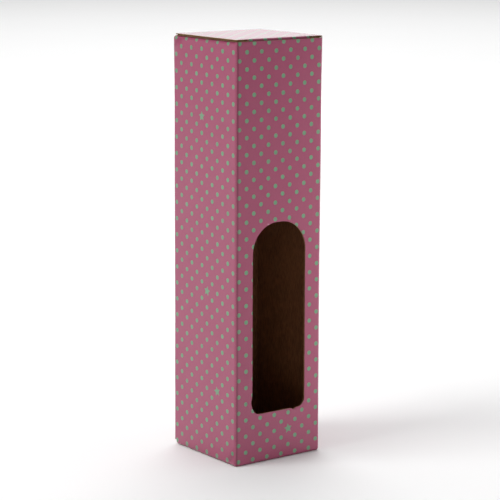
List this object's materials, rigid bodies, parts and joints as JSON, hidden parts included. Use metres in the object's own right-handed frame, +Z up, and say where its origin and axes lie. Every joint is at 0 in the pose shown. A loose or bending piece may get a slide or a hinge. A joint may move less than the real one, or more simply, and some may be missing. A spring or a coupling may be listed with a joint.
{
  "type": "window gift box",
  "caption": "Tall square gift box of printed corrugated card with an arched window, a hinged tuck lid, dust flaps and a glued folding base.",
  "frame": {"origin": "middle of the underside of the base", "axes": "+Z up along the tube, -Y out of the window panel, +X to the right of someone facing the window"},
  "size_m": [0.084, 0.084, 0.3359],
  "materials": {
    "printed_liner": "satin printed",
    "printed_crease": "satin printed",
    "kraft_liner": "matt",
    "kraft_outer": "satin printed",
    "kraft_fluting": "matt",
    "dried_glue": "dull"
  },
  "bodies": {
    "box": {"back_base_crease": "printed_crease", "back_base_flap_fluting": "kraft_fluting", "back_base_flap_inner_liner": "kraft_liner", "back_base_flap_outer_liner": "printed_liner", "back_panel_fluting": "kraft_fluting", "back_panel_inner_liner": "kraft_liner", "back_panel_outer_liner": "printed_liner", "back_right_crease": "printed_crease", "base_glue_pads": "dried_glue", "front_base_crease": "printed_crease", "front_base_flap_fluting": "kraft_fluting", "front_base_flap_inner_liner": "kraft_liner", "front_base_flap_outer_liner": "printed_liner", "front_left_crease": "printed_crease", "front_panel_fluting": "kraft_fluting", "front_panel_inner_liner": "kraft_liner", "front_panel_outer_liner": "printed_liner", "front_right_crease": "printed_crease", "glue_tab_crease": "printed_crease", "glue_tab_fluting": "kraft_fluting", "glue_tab_inner_liner": "kraft_liner", "glue_tab_outer_liner": "kraft_outer", "left_base_crease": "printed_crease", "left_base_flap_fluting": "kraft_fluting", "left_base_flap_inner_liner": "kraft_liner", "left_base_flap_outer_liner": "printed_liner", "left_dust_crease": "printed_crease", "left_panel_fluting": "kraft_fluting", "left_panel_inner_liner": "kraft_liner", "left_panel_outer_liner": "printed_liner", "lid_crease": "printed_crease", "right_base_crease": "printed_crease", "right_base_flap_fluting": "kraft_fluting", "right_base_flap_inner_liner": "kraft_liner", "right_base_flap_outer_liner": "printed_liner", "right_dust_crease": "printed_crease", "right_panel_fluting": "kraft_fluting", "right_panel_inner_liner": "kraft_liner", "right_panel_outer_liner": "printed_liner", "seam_glue": "dried_glue"},
    "lid": {"lid_fluting": "kraft_fluting", "lid_inner_liner": "kraft_liner", "lid_outer_liner": "printed_liner", "tuck_crease": "printed_crease"},
    "tuck_flap": {"tuck_flap_fluting": "kraft_fluting", "tuck_flap_inner_liner": "kraft_liner", "tuck_flap_outer_liner": "printed_liner"},
    "left_dust_flap": {"left_dust_flap_fluting": "kraft_fluting", "left_dust_flap_inner_liner": "kraft_liner", "left_dust_flap_outer_liner": "printed_liner"},
    "right_dust_flap": {"right_dust_flap_fluting": "kraft_fluting", "right_dust_flap_inner_liner": "kraft_liner", "right_dust_flap_outer_liner": "printed_liner"}
  },
  "joints": [
    {"name": "lid_hinge", "type": "hinge", "parent": "box", "child": "lid", "pos_m": [0, 0.042, 0.3359], "axis": [-1, 0, 0], "range_deg": [0, 170]},
    {"name": "tuck_hinge", "type": "hinge", "parent": "lid", "child": "tuck_flap", "pos_m": [0, -0.04005, 0.3359], "axis": [-1, 0, 0], "range_deg": [0, 62]},
    {"name": "left_dust_hinge", "type": "hinge", "parent": "box", "child": "left_dust_flap", "pos_m": [-0.042, 0, 0.334], "axis": [0, -1, 0], "range_deg": [0, 92]},
    {"name": "right_dust_hinge", "type": "hinge", "parent": "box", "child": "right_dust_flap", "pos_m": [0.042, 0, 0.334], "axis": [0, 1, 0], "range_deg": [0, 92]}
  ],
  "couplings": [
    {"joint": "tuck_hinge", "follows": "lid_hinge", "ratio": 0.36},
    {"joint": "left_dust_hinge", "follows": "lid_hinge", "ratio": 0.53},
    {"joint": "right_dust_hinge", "follows": "lid_hinge", "ratio": 0.53}
  ]
}
